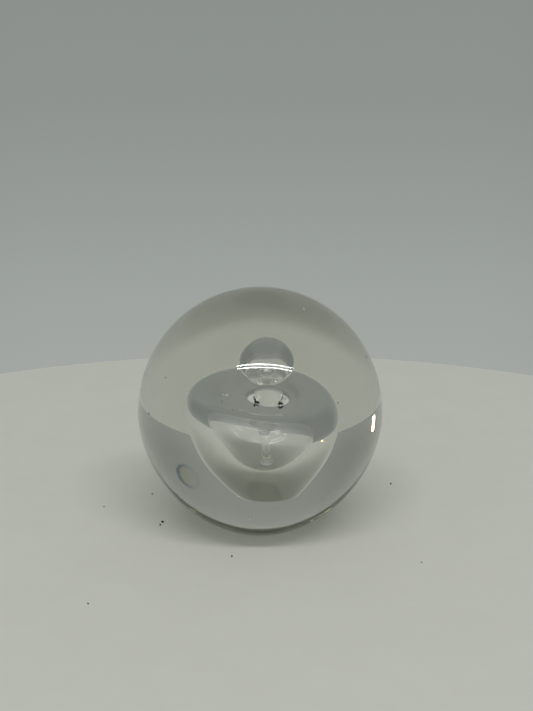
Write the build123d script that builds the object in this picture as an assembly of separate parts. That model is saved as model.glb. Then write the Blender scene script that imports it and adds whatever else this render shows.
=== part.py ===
from build123d import *
import os

# A handmade glass paperweight: a ball of clear glass, ground flat underneath, with two pockets
# of air sealed inside it. It was built up hot, in three gathers of glass. A tapered plunger
# dented the first, the second closed that dent over and was pricked, and the third, the outer
# casing, closed the prick over. Each gather is a piece of its own here, and the pockets of air
# are true hollows, left between the gathers.
#
# Lengths are millimetres. The origin is the centre of the flat ground base and +Z is up.

os.makedirs("parts", exist_ok=True)

# ---- driving dimensions -------------------------------------------------------------------

BALL_RADIUS = 38.0       # the ball's largest radius, at its equator
EQUATOR_HEIGHT = 37.3    # of the equator above the base
CROWN_HEIGHT = 38.6      # of the top above the equator
BASE_RADIUS = 11.4       # of the ground flat that the ball stands on

# Neither pocket of air is quite true to the ball's axis.
POCKET_OFFSET = 0.1      # of the bell-shaped pocket's middle from the ball's axis, along X
POCKET_LEAN = 0.075      # of the pocket's axis toward -X, for each unit of height
POCKET_SLANT_X = -0.07   # rise of the pocket's roof and floor toward +X
POCKET_SLANT_Y = 0.12    # and toward +Y
BUBBLE_OFFSET = 1.4      # of the bubble's axis from the ball's, along X
BUBBLE_SLANT_Y = 0.42    # rise of the bubble's rim toward +Y

DEGREE = 3               # every curved outline is a clamped cubic spline

# ---- outlines: the (radius, height above the equator) of each spline's control points ------

# The ball from its equator down to the edge of the flat.
BALL_FOOT = [(38.0, 0.0), (38.0, -12.2), (29.4, -30.1), (11.4, -37.3)]

# The skin of the middle gather, and of the core gather inside it, from the top down to the
# ground flat, where both narrow to the neck that held them on the iron.
MIDDLE_SKIN = [(0.0, 11.4), (9.0, 11.4), (21.0, 9.8), (28.0, -1.0), (25.0, -15.0),
               (14.0, -26.0), (8.4, -32.0), (7.6, -37.3)]
CORE_SKIN = [(0.0, 2.0), (12.0, 2.0), (17.5, 2.6), (20.5, 0.0), (19.5, -9.0),
             (13.0, -21.0), (5.4, -28.0), (4.0, -37.3)]

# The bell-shaped pocket, from the middle of its floor up the wall and over the roof, then
# down the dimple in the roof and the drip of glass that hangs from it almost to the floor.
POCKET = [(0.0, -18.4), (4.5, -18.4), (6.1, -17.5), (8.9, -14.6), (11.7, -11.4),
          (14.3, -7.6), (15.8, -3.6), (16.0, -0.8), (15.0, 2.1), (12.4, 3.9), (9.2, 3.8),
          (6.4, 3.2), (4.9, 2.9), (4.1, 2.7), (4.0, 0.2), (2.6, -1.4), (1.5, -3.0),
          (1.3, -6.0), (1.2, -11.0), (1.0, -14.6), (1.9, -16.2), (3.0, -17.6),
          (1.8, -18.2), (0.0, -18.2)]

# The bubble above it: a low dome over a shallow bowl with a pit in its middle.
BUBBLE = [(0.0, 8.3), (0.7, 8.3), (1.3, 8.5), (1.5, 9.1), (2.4, 9.1), (3.8, 9.0), (5.4, 9.5),
          (6.1, 10.3), (5.9, 11.4), (4.6, 13.1), (2.8, 13.9), (1.2, 14.0), (0.0, 14.0)]


# ---- construction helpers -----------------------------------------------------------------

def spline(points):
    """A clamped cubic spline with evenly spaced knots, in a plane of radius and height."""
    spans = len(points) - DEGREE
    inner_knots = [float(k) for k in range(1, spans)]
    knots = [0.0] * (DEGREE + 1) + inner_knots + [float(spans)] * (DEGREE + 1)
    return BSpline(points, knots, DEGREE)


def turned(*edges):
    """The solid of revolution of an outline whose open side is the axis of the turning."""
    closing = Line(edges[-1] @ 1, edges[0] @ 0)
    outline = Face(Wire([*edges, closing]))
    return Pos(0, 0, EQUATOR_HEIGHT) * revolve(Plane.XZ * outline, Axis.Z)


def lump(*skin):
    """A solid lump with this skin, which runs from its top down to the ground flat."""
    flat = Line(skin[-1] @ 1, (0, -EQUATOR_HEIGHT))
    return turned(*skin, flat)


def skewed(solid, offset, lean, slant_x, slant_y):
    """The solid with its axis leaning along X and its level circles slanting."""
    skew = Matrix([[1, 0, -lean, offset + lean * EQUATOR_HEIGHT],
                   [0, 1, 0, 0],
                   [slant_x, slant_y, 1, 0]])
    return solid.transform_geometry(skew)


# ---- the two pockets of air -----------------------------------------------------------------

pocket = skewed(turned(spline(POCKET)), POCKET_OFFSET, POCKET_LEAN, POCKET_SLANT_X,
                POCKET_SLANT_Y)
bubble = skewed(turned(spline(BUBBLE)), BUBBLE_OFFSET, 0, 0, BUBBLE_SLANT_Y)

# ---- the lump of glass as it stood after each gather ----------------------------------------

core_lump = lump(spline(CORE_SKIN))
middle_lump = lump(spline(MIDDLE_SKIN))
crown = EllipticalCenterArc((0, 0), BALL_RADIUS, CROWN_HEIGHT, start_angle=90, arc_size=-90)
whole_ball = lump(crown, spline(BALL_FOOT))

# ---- the pieces -----------------------------------------------------------------------------

# Cut by the pocket, the core lump leaves its cup of glass and the drip's lower end, which is
# the middle gather's glass: it ran down into the dent as that gather closed it over.
core_gather = (core_lump - pocket).solids().sort_by(SortBy.VOLUME)[-1]
middle_gather = middle_lump - core_gather - pocket - bubble
outer_casing = whole_ball - middle_lump - bubble

export_step(core_gather, "parts/core_gather.step")
export_step(middle_gather, "parts/middle_gather.step")
export_step(outer_casing, "parts/outer_casing.step")
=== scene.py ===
import math
import random

import bpy
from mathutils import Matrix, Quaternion, Vector


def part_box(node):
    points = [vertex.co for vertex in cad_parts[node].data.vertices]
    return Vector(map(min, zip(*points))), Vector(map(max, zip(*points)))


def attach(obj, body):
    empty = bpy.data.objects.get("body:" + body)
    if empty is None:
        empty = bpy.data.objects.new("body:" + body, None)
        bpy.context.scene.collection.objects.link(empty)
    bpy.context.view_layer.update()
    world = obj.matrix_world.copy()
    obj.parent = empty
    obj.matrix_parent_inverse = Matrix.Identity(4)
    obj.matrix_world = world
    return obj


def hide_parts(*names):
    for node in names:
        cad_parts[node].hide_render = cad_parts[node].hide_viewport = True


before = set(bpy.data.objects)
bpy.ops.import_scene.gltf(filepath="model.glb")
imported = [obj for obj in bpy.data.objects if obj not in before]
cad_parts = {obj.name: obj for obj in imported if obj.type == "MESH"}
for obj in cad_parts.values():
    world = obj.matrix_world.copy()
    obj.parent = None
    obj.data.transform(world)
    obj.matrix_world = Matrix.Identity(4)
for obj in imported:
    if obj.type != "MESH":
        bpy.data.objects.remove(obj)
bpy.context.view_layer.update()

# A clear glass ball that stands on a ground flat, with two pockets of air sealed inside it.
# Metres, in the frame of the CAD model: +Z up, the origin at the centre of the ground flat.

# ---- sizes ----------------------------------------------------------------------------------

MM = 0.001
CASING_LOW, CASING_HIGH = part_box("outer_casing")
BALL_RADIUS = (CASING_HIGH[0] - CASING_LOW[0]) / 2
BALL_HEIGHT = CASING_HIGH[2] - CASING_LOW[2]
EQUATOR = 37.3 * MM
CROWN_HEIGHT = BALL_HEIGHT - EQUATOR
BASE_RADIUS = 11.4 * MM

# Control points of the turned outlines, as (radius, height above the equator) in millimetres.
BALL_FOOT = [(38.0, 0.0), (38.0, -12.2), (29.4, -30.1), (11.4, -37.3)]

# The bell-shaped pocket: from the middle of its floor up the wall, then over the roof and down
# the dimple in the roof and the drip of glass that hangs from it almost to the floor.
POCKET_FLOOR_AND_WALL = [(0.0, -18.4), (4.5, -18.4), (6.1, -17.5), (8.9, -14.6), (11.7, -11.4),
                         (14.3, -7.6), (15.8, -3.6), (16.0, -0.8)]
POCKET_ROOF_AND_DRIP = [(15.0, 2.1), (12.4, 3.9), (9.2, 3.8), (6.4, 3.2), (4.9, 2.9), (4.1, 2.7),
                        (4.0, 0.2), (2.6, -1.4), (1.5, -3.0), (1.3, -6.0), (1.2, -11.0),
                        (1.0, -14.6), (1.9, -16.2), (3.0, -17.6), (1.8, -18.2), (0.0, -18.2)]

# The bubble above it: a low dome over a shallow bowl with a pit in its middle.
BUBBLE = [(0.0, 8.3), (0.7, 8.3), (1.3, 8.5), (1.5, 9.1), (2.4, 9.1), (3.8, 9.0), (5.4, 9.5),
          (6.1, 10.3), (5.9, 11.4), (4.6, 13.1), (2.8, 13.9), (1.2, 14.0), (0.0, 14.0)]

# Neither pocket of air is quite true to the ball's axis.
POCKET_OFFSET = 0.1 * MM                    # of the pocket's middle, along X
POCKET_LEAN = 0.075                         # of its axis toward -X, for each unit of height
POCKET_SLANT_Y = 0.12                       # its rise toward +Y
POCKET_SLANT_X = -0.14                      # the rise of its front toward +X, which comes in
SLANT_LOW, SLANT_HIGH = -12.0 * MM, 1.0 * MM     # between these heights above the equator
SLANT_BACK, SLANT_FRONT = 15.0 * MM, -15.0 * MM  # and between these places along Y
DRIP_OFFSET = 1.6 * MM                      # of the dimple and the drip, along X, which gives
DRIP_REACH, ROOF_REACH = 5.0 * MM, 9.0 * MM      # way to the pocket's between these radii
BUBBLE_OFFSET = 1.4 * MM                    # of the bubble, along X
BUBBLE_SLANT_Y = 0.42                       # its rise toward +Y

# Seeds: tiny bubbles in the glass, as (x, y, z, radius) in millimetres.
SEEDS = [(-32.2, -17.9, 41.6, 0.32), (31.1, -7.7, 55.9, 0.32), (-34.7, -9.9, 44.7, 0.15),
         (-29.2, -8.5, 56.8, 0.15)]

# Chips and dust on the skin, as (degrees round from +X, height, radius) in millimetres.
CHIPS = [(-42.9, 71.6, 0.42), (-151.0, 41.4, 0.34), (-13.6, 56.0, 0.34), (-108.0, 51.6, 0.22),
         (-107.0, 49.8, 0.28), (-69.0, 53.2, 0.20), (-102.0, 47.8, 0.26), (-96.0, 13.4, 0.50),
         (-29.0, 9.0, 0.36), (-127.0, 4.2, 0.34), (-75.0, 2.2, 0.36), (-118.0, 3.0, 0.24),
         (-88.0, 2.4, 0.24), (-58.0, 3.4, 0.26), (60.0, 30.0, 0.30), (140.0, 52.0, 0.30)]
CHIP_REACH = 0.995       # how far out a chip's middle is, as a share of the skin's radius there

# Small black flakes in the glass, as (x, y, z, half width, height) in millimetres, and the outline
# that they all have before they crumble, as shares of the half width and the height.
FLAKES = [(-1.0, -3.2, 40.3, 0.42, 1.30), (-0.5, -3.3, 40.1, 0.34, 0.80),
          (4.1, -3.1, 39.9, 0.36, 1.10), (4.5, -3.1, 39.8, 0.40, 0.70),
          (-26.0, -16.8, 51.7, 0.22, 0.40), (21.1, -25.2, 46.9, 0.16, 0.55)]
FLAKE_OUTLINE = [(0, -0.40), (0.75, -0.34), (1.0, -0.12), (0.62, 0.12), (0.28, 0.36), (0, 0.60)]
FLAKE_DEPTH = 0.5        # front to back, as a share of the width
FLAKE_TILT = 0.35        # the most that one leans along X, for each unit of height

# The bruise: a thin round crack just under the skin, low on the left.
BRUISE_CENTRE = Vector((-20.2, -26.9, 26.0)) * MM
BRUISE_SIZE = (4.4 * MM, 4.6 * MM)
BRUISE_THICKNESS = 0.06 * MM
BRUISE_OUTWARD = (BRUISE_CENTRE - Vector((0, 0, EQUATOR))).normalized()
BRUISE_ALONG = Vector((0, 0, 1)).cross(BRUISE_OUTWARD).normalized()
BRUISE_ACROSS = BRUISE_OUTWARD.cross(BRUISE_ALONG)

# Crumbs on the table, as (x, y, radius) in millimetres.
CRUMBS = [(-31.4, -0.8, 0.36), (-31.9, -3.2, 0.30), (-37.3, 23.5, 0.28), (46.4, 33.0, 0.32),
          (-8.4, -26.5, 0.30), (-52.2, 12.0, 0.22), (47.1, -30.6, 0.20), (-45.9, -55.5, 0.22)]
CRUMB_RISE = 0.4         # of a crumb's middle above the table, as a share of its radius

FLOOR_RADIUS = 6.1 * BALL_RADIUS
FLOOR_THICKNESS = 20 * MM
FLOOR_GAP = 0.01 * MM    # under the ground flat, so that the two faces don't coincide

# How finely curves are stepped.
DEGREE = 3               # every curved outline is a clamped cubic spline
FLAT_STEPS = 12
BALL_STEPS = 90
SPLINE_STEPS = 12        # for each span of a pocket's outline
BALL_SEGMENTS, POCKET_SEGMENTS, BUBBLE_SEGMENTS = 256, 192, 128

chance = random.Random(11)


# ---- turned shapes --------------------------------------------------------------------------

def spline(points, steps_per_span):
    """Points along the clamped cubic spline, with evenly spaced knots, of these control points."""
    spans = len(points) - DEGREE
    knots = [0] * DEGREE + list(range(spans + 1)) + [spans] * DEGREE
    curve = []
    for step in range(spans * steps_per_span + 1):
        t = step / steps_per_span
        span = min(int(t), spans - 1)
        local = [Vector(p) for p in points[span:span + DEGREE + 1]]
        for level in range(1, DEGREE + 1):
            for j in range(DEGREE, level - 1, -1):
                low = knots[span + j]
                high = knots[span + j + DEGREE - level + 1]
                local[j] = local[j - 1].lerp(local[j], (t - low) / (high - low))
        curve.append(local[DEGREE])
    return [(r * MM, h * MM) for r, h in curve]


def half_circle(radius, steps):
    """A half circle from the axis round to the axis, as (r, h)."""
    return [(radius * math.sin(math.pi * k / steps), -radius * math.cos(math.pi * k / steps))
            for k in range(steps + 1)]


def ball_outline():
    """The ball's skin, from the middle of its ground flat round to its top, as (r, h)."""
    flat = [(BASE_RADIUS * k / FLAT_STEPS, -EQUATOR) for k in range(FLAT_STEPS)]
    foot = spline(BALL_FOOT, BALL_STEPS)[::-1]
    crown = []
    for k in range(1, BALL_STEPS + 1):
        turn = math.pi / 2 * k / BALL_STEPS
        crown.append((BALL_RADIUS * math.cos(turn), CROWN_HEIGHT * math.sin(turn)))
    return flat + foot + crown


def on_axis(x, y, h):
    """The place of a point of an outline turned about the ball's own axis."""
    return (x, y, h + EQUATOR)


class Shells:
    """Closed turned surfaces, gathered into one mesh."""

    def __init__(self):
        self.verts = []
        self.faces = []

    def turn(self, outline, segments, place=on_axis, hollow=False):
        """Adds the surface that an outline, (r, h) from axis to axis, sweeps.

        place says where in the scene each of its points (x, y, h) stands. A hollow's faces
        look into the hollow, away from the glass round it.
        """
        first = len(self.verts)
        rings = outline[1:-1]
        self.verts.append(place(0.0, 0.0, outline[0][1]))
        for r, h in rings:
            for k in range(segments):
                turn = math.tau * k / segments
                self.verts.append(place(r * math.cos(turn), r * math.sin(turn), h))
        self.verts.append(place(0.0, 0.0, outline[-1][1]))
        last = len(self.verts) - 1
        top = last - segments
        faces = []
        for k in range(segments):
            after = (k + 1) % segments
            faces.append((first, first + 1 + after, first + 1 + k))
            faces.append((last, top + k, top + after))
            for ring in range(len(rings) - 1):
                a = first + 1 + ring * segments + k
                b = first + 1 + ring * segments + after
                faces.append((a, b, b + segments, a + segments))
        if hollow:
            faces = [tuple(reversed(face)) for face in faces]
        self.faces += faces

    def piece(self, name, material, smooth=True):
        mesh = bpy.data.meshes.new(name)
        mesh.from_pydata(self.verts, [], self.faces)
        mesh.update()
        for polygon in mesh.polygons:
            polygon.use_smooth = smooth
        mesh.materials.append(material)
        piece = bpy.data.objects.new(name, mesh)
        bpy.context.scene.collection.objects.link(piece)
        return piece


# ---- materials ------------------------------------------------------------------------------

def add_node(tree, kind, inputs=(), **settings):
    """A new node with these settings, each input either set to a value or fed by an output."""
    node = tree.nodes.new(kind)
    for key, value in settings.items():
        setattr(node, key, value)
    for key, value in dict(inputs).items():
        if isinstance(value, bpy.types.NodeSocket):
            tree.links.new(value, node.inputs[key])
        else:
            node.inputs[key].default_value = value
    return node


class Look:
    """One material and short calls for building its node tree."""

    def __init__(self, name):
        self.material = bpy.data.materials.new(name)
        self.material.use_nodes = True
        self.tree = self.material.node_tree
        self.shader = self.tree.nodes["Principled BSDF"]
        self.output = self.tree.nodes["Material Output"]
        self.coords = self.tree.nodes.new("ShaderNodeTexCoord").outputs["Object"]

    def node(self, kind, inputs=(), **settings):
        return add_node(self.tree, kind, inputs, **settings)

    def speckle(self, scale, detail, dark, light):
        """A fine noise between two colours."""
        noise = self.node("ShaderNodeTexNoise",
                          {"Vector": self.coords, "Scale": scale, "Detail": detail})
        colour = self.node("ShaderNodeValToRGB", {0: noise.outputs[0]})
        colour.color_ramp.elements[0].color = (*dark, 1)
        colour.color_ramp.elements[1].color = (*light, 1)
        return colour.outputs[0]

    def set(self, **values):
        for key, value in values.items():
            socket = self.shader.inputs[key.replace("_", " ")]
            if isinstance(value, bpy.types.NodeSocket):
                self.tree.links.new(value, socket)
            else:
                socket.default_value = value


def glass_material():
    """Clear glass, tinted by its depth, and worn dull round the edge of the ground flat."""
    look = Look("clear_glass")
    height = look.node("ShaderNodeSeparateXYZ", {0: look.coords}).outputs["Z"]
    grain = look.node("ShaderNodeTexNoise",
                      {"Vector": look.coords, "Scale": 900.0, "Detail": 3.0})
    worn = look.node("ShaderNodeMapRange", {0: height, "From Min": 0.02 * MM,
                                            "From Max": 0.5 * MM, "To Min": 0.30, "To Max": 0.0})
    rough = look.node("ShaderNodeMath", {0: worn.outputs[0], 1: grain.outputs[0]},
                      operation="MULTIPLY")
    look.set(Base_Color=(1, 1, 1, 1), Transmission_Weight=1.0, Roughness=rough.outputs[0],
             IOR=1.52)
    absorb = look.node("ShaderNodeVolumeAbsorption",
                       {"Color": (0.60, 0.61, 0.51, 1.0), "Density": 10.0})
    look.tree.links.new(absorb.outputs[0], look.output.inputs["Volume"])
    return look.material


def chip_material():
    """Bruised glass and dust: whitish, a little clear."""
    look = Look("chipped_glass")
    colour = look.speckle(3000.0, 2.0, (0.55, 0.47, 0.42), (0.95, 0.93, 0.90))
    look.set(Base_Color=colour, Roughness=0.35, Alpha=0.75)
    return look.material


def black_speck_material():
    look = Look("black_specks")
    colour = look.speckle(2500.0, 4.0, (0.004, 0.004, 0.003), (0.030, 0.026, 0.018))
    look.set(Base_Color=colour, Roughness=0.9)
    return look.material


def bruise_material():
    """A thin crack's interference colours: a blue and violet edge, straw coloured within."""
    look = Look("bruise_film")
    offset = look.node("ShaderNodeVectorMath", {0: look.coords, 1: BRUISE_CENTRE},
                       operation="SUBTRACT").outputs[0]

    def share(direction, size):
        """How far along a direction, as a share of the bruise's half size that way."""
        reach = look.node("ShaderNodeVectorMath", {0: offset, 1: direction},
                          operation="DOT_PRODUCT").outputs["Value"]
        return look.node("ShaderNodeMath", {0: reach, 1: 1 / size},
                         operation="MULTIPLY").outputs[0]

    along = share(BRUISE_ALONG, BRUISE_SIZE[0])
    across = share(BRUISE_ACROSS, BRUISE_SIZE[1])
    both = look.node("ShaderNodeCombineXYZ", {0: along, 1: across}).outputs[0]
    noise = look.node("ShaderNodeTexNoise", {"Vector": both, "Scale": 3.0})
    from_centre = look.node("ShaderNodeVectorMath", {0: both}, operation="LENGTH")
    wobble = look.node("ShaderNodeMath", {0: noise.outputs[0], 1: 0.30, 2: -0.15},
                       operation="MULTIPLY_ADD")
    reach = look.node("ShaderNodeMath", {0: from_centre.outputs["Value"], 1: wobble.outputs[0]})
    film = look.node("ShaderNodeValToRGB", {0: reach.outputs[0]})
    stops = film.color_ramp.elements
    stops[0].position, stops[0].color = 0.0, (0.98, 0.97, 0.84, 1)
    stops[1].position, stops[1].color = 1.0, (1, 1, 1, 1)
    for position, colour in ((0.55, (0.96, 0.95, 0.84, 1)), (0.70, (0.84, 0.76, 0.77, 1)),
                             (0.80, (0.52, 0.58, 0.74, 1)), (0.92, (0.78, 0.86, 0.92, 1))):
        stops.new(position).color = colour
    fade = look.node("ShaderNodeMapRange", {0: along, "From Min": -0.7, "From Max": 0.3,
                                            "To Min": 0.0, "To Max": 0.9})
    tint = look.node("ShaderNodeMix", {"Factor": fade.outputs[0], "A": film.outputs[0],
                                       "B": (1, 1, 1, 1)}, data_type="RGBA")
    clear = look.node("ShaderNodeBsdfTransparent", {0: tint.outputs["Result"]})
    look.tree.links.new(clear.outputs[0], look.output.inputs["Surface"])
    return look.material


def floor_material():
    look = Look("pale_floor")
    noise = look.node("ShaderNodeTexNoise", {"Vector": look.coords, "Scale": 60.0,
                                             "Detail": 8.0, "Roughness": 0.7})
    colour = look.node("ShaderNodeMix",
                       {"Factor": noise.outputs[0], "A": (0.830, 0.825, 0.752, 1),
                        "B": (0.890, 0.890, 0.822, 1)}, data_type="RGBA")
    look.set(Base_Color=colour.outputs["Result"], Roughness=0.9, Specular_IOR_Level=0.1)
    return look.material


# ---- the pieces -----------------------------------------------------------------------------

def share_of_way(value, start, end):
    """How far a value has got from start to end, from 0 to 1."""
    return min(1.0, max(0.0, (value - start) / (end - start)))


def smooth(share):
    return share * share * (3 - 2 * share)


def pocket_place(x, y, h):
    front = share_of_way(y, SLANT_BACK, SLANT_FRONT)
    height = smooth(share_of_way(h, SLANT_LOW, SLANT_HIGH))
    rise = POCKET_SLANT_X * x * front * height + POCKET_SLANT_Y * y
    outer = smooth(share_of_way(math.hypot(x, y), DRIP_REACH, ROOF_REACH))
    offset = DRIP_OFFSET + (POCKET_OFFSET - POCKET_LEAN * h - DRIP_OFFSET) * outer
    return (x + offset, y, h + EQUATOR + rise)


def bubble_place(x, y, h):
    return (x + BUBBLE_OFFSET, y, h + EQUATOR + BUBBLE_SLANT_Y * y)


def glass_ball():
    """The three fused gathers of glass, with every pocket of air in them, as one mesh."""
    shells = Shells()
    shells.turn(ball_outline(), BALL_SEGMENTS)
    pocket = spline(POCKET_FLOOR_AND_WALL + POCKET_ROOF_AND_DRIP, SPLINE_STEPS)
    shells.turn(pocket, POCKET_SEGMENTS, pocket_place, hollow=True)
    shells.turn(spline(BUBBLE, SPLINE_STEPS), BUBBLE_SEGMENTS, bubble_place, hollow=True)
    for cx, cy, cz, radius in SEEDS:
        def seed_place(x, y, h):
            return (x + cx * MM, y + cy * MM, h + cz * MM)

        shells.turn(half_circle(radius * MM, 10), 20, seed_place, hollow=True)
    ball = shells.piece("glass_ball", glass_material())
    ball.cycles.is_caustics_caster = True
    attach(ball, "root")
    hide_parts("outer_casing", "middle_gather", "core_gather")


def skin_radius(height):
    """The ball's radius at a height above its ground flat."""
    skin = ball_outline()[FLAT_STEPS:]
    for (r0, h0), (r1, h1) in zip(skin, skin[1:]):
        if h1 + EQUATOR >= height:
            return r0 + (r1 - r0) * (height - EQUATOR - h0) / (h1 - h0)
    return 0.0


def chips_and_dust():
    shells = Shells()
    for degrees, height, radius in CHIPS:
        reach = skin_radius(height * MM) * CHIP_REACH
        cx = reach * math.cos(math.radians(degrees))
        cy = reach * math.sin(math.radians(degrees))

        def chip_place(x, y, h):
            bite = chance.uniform(0.5, 1.2)
            return (x * bite + cx, y * bite + cy, h * bite + height * MM)

        shells.turn(half_circle(radius * MM, 6), 9, chip_place)
    chips = shells.piece("chips_and_dust", chip_material())
    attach(chips, "root")


def black_flakes():
    shells = Shells()
    for cx, cy, cz, half_width, height in FLAKES:
        tilt = chance.uniform(-FLAKE_TILT, FLAKE_TILT)

        def flake_place(x, y, h):
            bite = chance.uniform(0.6, 1.4)
            return (x * bite + cx * MM + tilt * h, y * bite * FLAKE_DEPTH + cy * MM, h + cz * MM)

        outline = [(r * half_width * MM, h * height * MM) for r, h in FLAKE_OUTLINE]
        shells.turn(outline, 9, flake_place)
    flakes = shells.piece("black_flakes", black_speck_material(), smooth=False)
    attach(flakes, "root")


def bruise_place(x, y, h):
    return (BRUISE_CENTRE + BRUISE_ALONG * x * BRUISE_SIZE[0] + BRUISE_ACROSS * y * BRUISE_SIZE[1]
            + BRUISE_OUTWARD * h * BRUISE_THICKNESS)


def bruise():
    shells = Shells()
    shells.turn(half_circle(1.0, 8), 32, bruise_place)
    crack = shells.piece("bruise", bruise_material())
    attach(crack, "root")


# ---- the stage ------------------------------------------------------------------------------

def pale_floor():
    middle = -FLOOR_THICKNESS / 2 - FLOOR_GAP
    bpy.ops.mesh.primitive_cylinder_add(vertices=256, radius=FLOOR_RADIUS,
                                        depth=FLOOR_THICKNESS, location=(0, 0, middle))
    floor = bpy.context.object
    floor.name = "floor"
    floor.data.materials.append(floor_material())
    floor.cycles.is_caustics_receiver = True


def table_crumbs():
    shells = Shells()
    for cx, cy, radius in CRUMBS:
        def crumb_place(x, y, h):
            bite = chance.uniform(0.6, 1.4)
            rise = CRUMB_RISE * radius * MM
            return (x * bite + cx * MM, y * bite + cy * MM, h * bite + rise)

        shells.turn(half_circle(radius * MM, 5), 7, crumb_place)
    shells.piece("table_crumbs", black_speck_material())


# The studio's walls, as (degrees above the horizon, colour): palest just below the horizon.
WALLS = [(-90, (0.10, 0.10, 0.10)), (-30, (0.25, 0.25, 0.24)), (-14, (0.366, 0.390, 0.370)),
         (-9, (0.340, 0.366, 0.346)), (-5, (0.310, 0.334, 0.316)), (1, (0.272, 0.294, 0.278)),
         (7, (0.260, 0.282, 0.267)), (45, (0.25, 0.27, 0.255)), (52, (0.23, 0.25, 0.235)),
         (90, (0.23, 0.25, 0.235))]
FRONT_GLOW = 0.35              # what the wall toward -Y gives more
SIDE_SHADE = 0.78              # what share of its light a wall to either side gives
SIDE_START, SIDE_END = 0.2, 0.6     # where the shade sets in, as the direction's X


def studio_world():
    world = bpy.data.worlds.new("studio")
    bpy.context.scene.world = world
    world.use_nodes = True
    tree = world.node_tree
    tree.nodes.clear()
    direction = add_node(tree, "ShaderNodeTexCoord").outputs["Generated"]
    split = add_node(tree, "ShaderNodeSeparateXYZ", {0: direction}).outputs
    elevation = add_node(tree, "ShaderNodeMath", {0: split["Z"]}, operation="ARCSINE")
    place = add_node(tree, "ShaderNodeMapRange",
                     {0: elevation.outputs[0], "From Min": -math.pi / 2, "From Max": math.pi / 2})
    walls = add_node(tree, "ShaderNodeValToRGB", {0: place.outputs[0]})
    stops = walls.color_ramp.elements
    stops.remove(stops[1])
    for k, (degrees, colour) in enumerate(WALLS):
        position = (degrees + 90) / 180
        stop = stops[0] if k == 0 else stops.new(position)
        stop.position = position
        stop.color = (*colour, 1.0)
    aside = add_node(tree, "ShaderNodeMath", {0: split["X"]}, operation="ABSOLUTE")
    side = add_node(tree, "ShaderNodeMapRange",
                    {0: aside.outputs[0], "From Min": SIDE_START, "From Max": SIDE_END,
                     "To Min": 1.0, "To Max": SIDE_SHADE}, interpolation_type="SMOOTHSTEP")
    front = add_node(tree, "ShaderNodeMapRange",
                     {0: split["Y"], "From Min": 0.0, "From Max": -1.0, "To Max": FRONT_GLOW},
                     interpolation_type="SMOOTHSTEP")
    shaded = add_node(tree, "ShaderNodeVectorMath",
                      {0: walls.outputs[0], "Scale": side.outputs[0]}, operation="SCALE")
    light = add_node(tree, "ShaderNodeVectorMath",
                     {0: shaded.outputs[0], 1: front.outputs[0]}, operation="ADD")
    back = add_node(tree, "ShaderNodeBackground", {0: light.outputs[0]})
    add_node(tree, "ShaderNodeOutputWorld", {0: back.outputs[0]})


def lamp(name, centre, size, radiance, target=None, colour=(1, 1, 1)):
    """A rectangular soft light that faces down or its target, with lengths in ball radii."""
    data = bpy.data.lights.new(name, "AREA")
    data.shape = "RECTANGLE"
    data.size = size[0] * BALL_RADIUS
    data.size_y = size[1] * BALL_RADIUS
    data.energy = radiance * math.pi * data.size * data.size_y
    data.color = colour
    data.cycles.is_caustics_light = True
    light = bpy.data.objects.new(name, data)
    bpy.context.scene.collection.objects.link(light)
    light.location = Vector(centre) * BALL_RADIUS
    if target:
        aim = Vector(target) * BALL_RADIUS - light.location
        light.rotation_euler = aim.to_track_quat("-Z", "Y").to_euler()
    return light


def studio_lamps():
    """Two ceiling tubes in front, and a small warm lamp that lights only the right rim."""
    for name, y in (("tube_near", -49.5), ("tube_far", -44.6)):
        lamp(name, centre=(6.5, y, 67.2), size=(72, 1.8), radiance=34.0)
    right_rim = (0.93, -0.36, EQUATOR / BALL_RADIUS)
    glow = lamp("warm_glow", centre=(3.04, 1.28, 0.22), size=(0.13, 0.40), radiance=16.0,
                target=right_rim, colour=(1.0, 0.66, 0.24))
    glow.visible_camera = False
    glow.data.spread = math.radians(14)


# ---- the camera -----------------------------------------------------------------------------

SENSOR = 36.0                       # millimetres, the height of the sensor
FOCAL_LENGTH = 1.3727 * SENSOR
CAMERA_DISTANCE = 8.06 * BALL_RADIUS
CAMERA_ELEVATION = math.radians(16.6)
BALL_RIGHT = -0.00872 * SENSOR      # where the ball's centre falls on the sensor
BALL_DOWN = 0.07665 * SENSOR


def camera():
    data = bpy.data.cameras.new("camera")
    data.sensor_fit = "VERTICAL"
    data.sensor_height = SENSOR
    data.lens = FOCAL_LENGTH
    data.clip_start = 1 * MM
    cam = bpy.data.objects.new("camera", data)
    bpy.context.scene.collection.objects.link(cam)
    toward = Vector((0, math.cos(CAMERA_ELEVATION), -math.sin(CAMERA_ELEVATION)))
    cam.location = Vector((0, 0, EQUATOR)) - toward * CAMERA_DISTANCE
    pitch = Quaternion((1, 0, 0), math.atan(BALL_DOWN / FOCAL_LENGTH))
    yaw = Quaternion((0, 1, 0), math.atan(BALL_RIGHT / FOCAL_LENGTH))
    cam.rotation_mode = "QUATERNION"
    cam.rotation_quaternion = toward.to_track_quat("-Z", "Y") @ pitch @ yaw
    bpy.context.scene.camera = cam


# Chips, flakes and crumbs take their draws from the same chance, so their order counts.
glass_ball()
chips_and_dust()
black_flakes()
bruise()
pale_floor()
table_crumbs()
studio_world()
studio_lamps()
camera()

bpy.context.scene.view_settings.view_transform = "Standard"
bpy.context.scene.cycles.max_bounces = 24
bpy.context.scene.cycles.transmission_bounces = 24
bpy.context.scene.cycles.glossy_bounces = 16
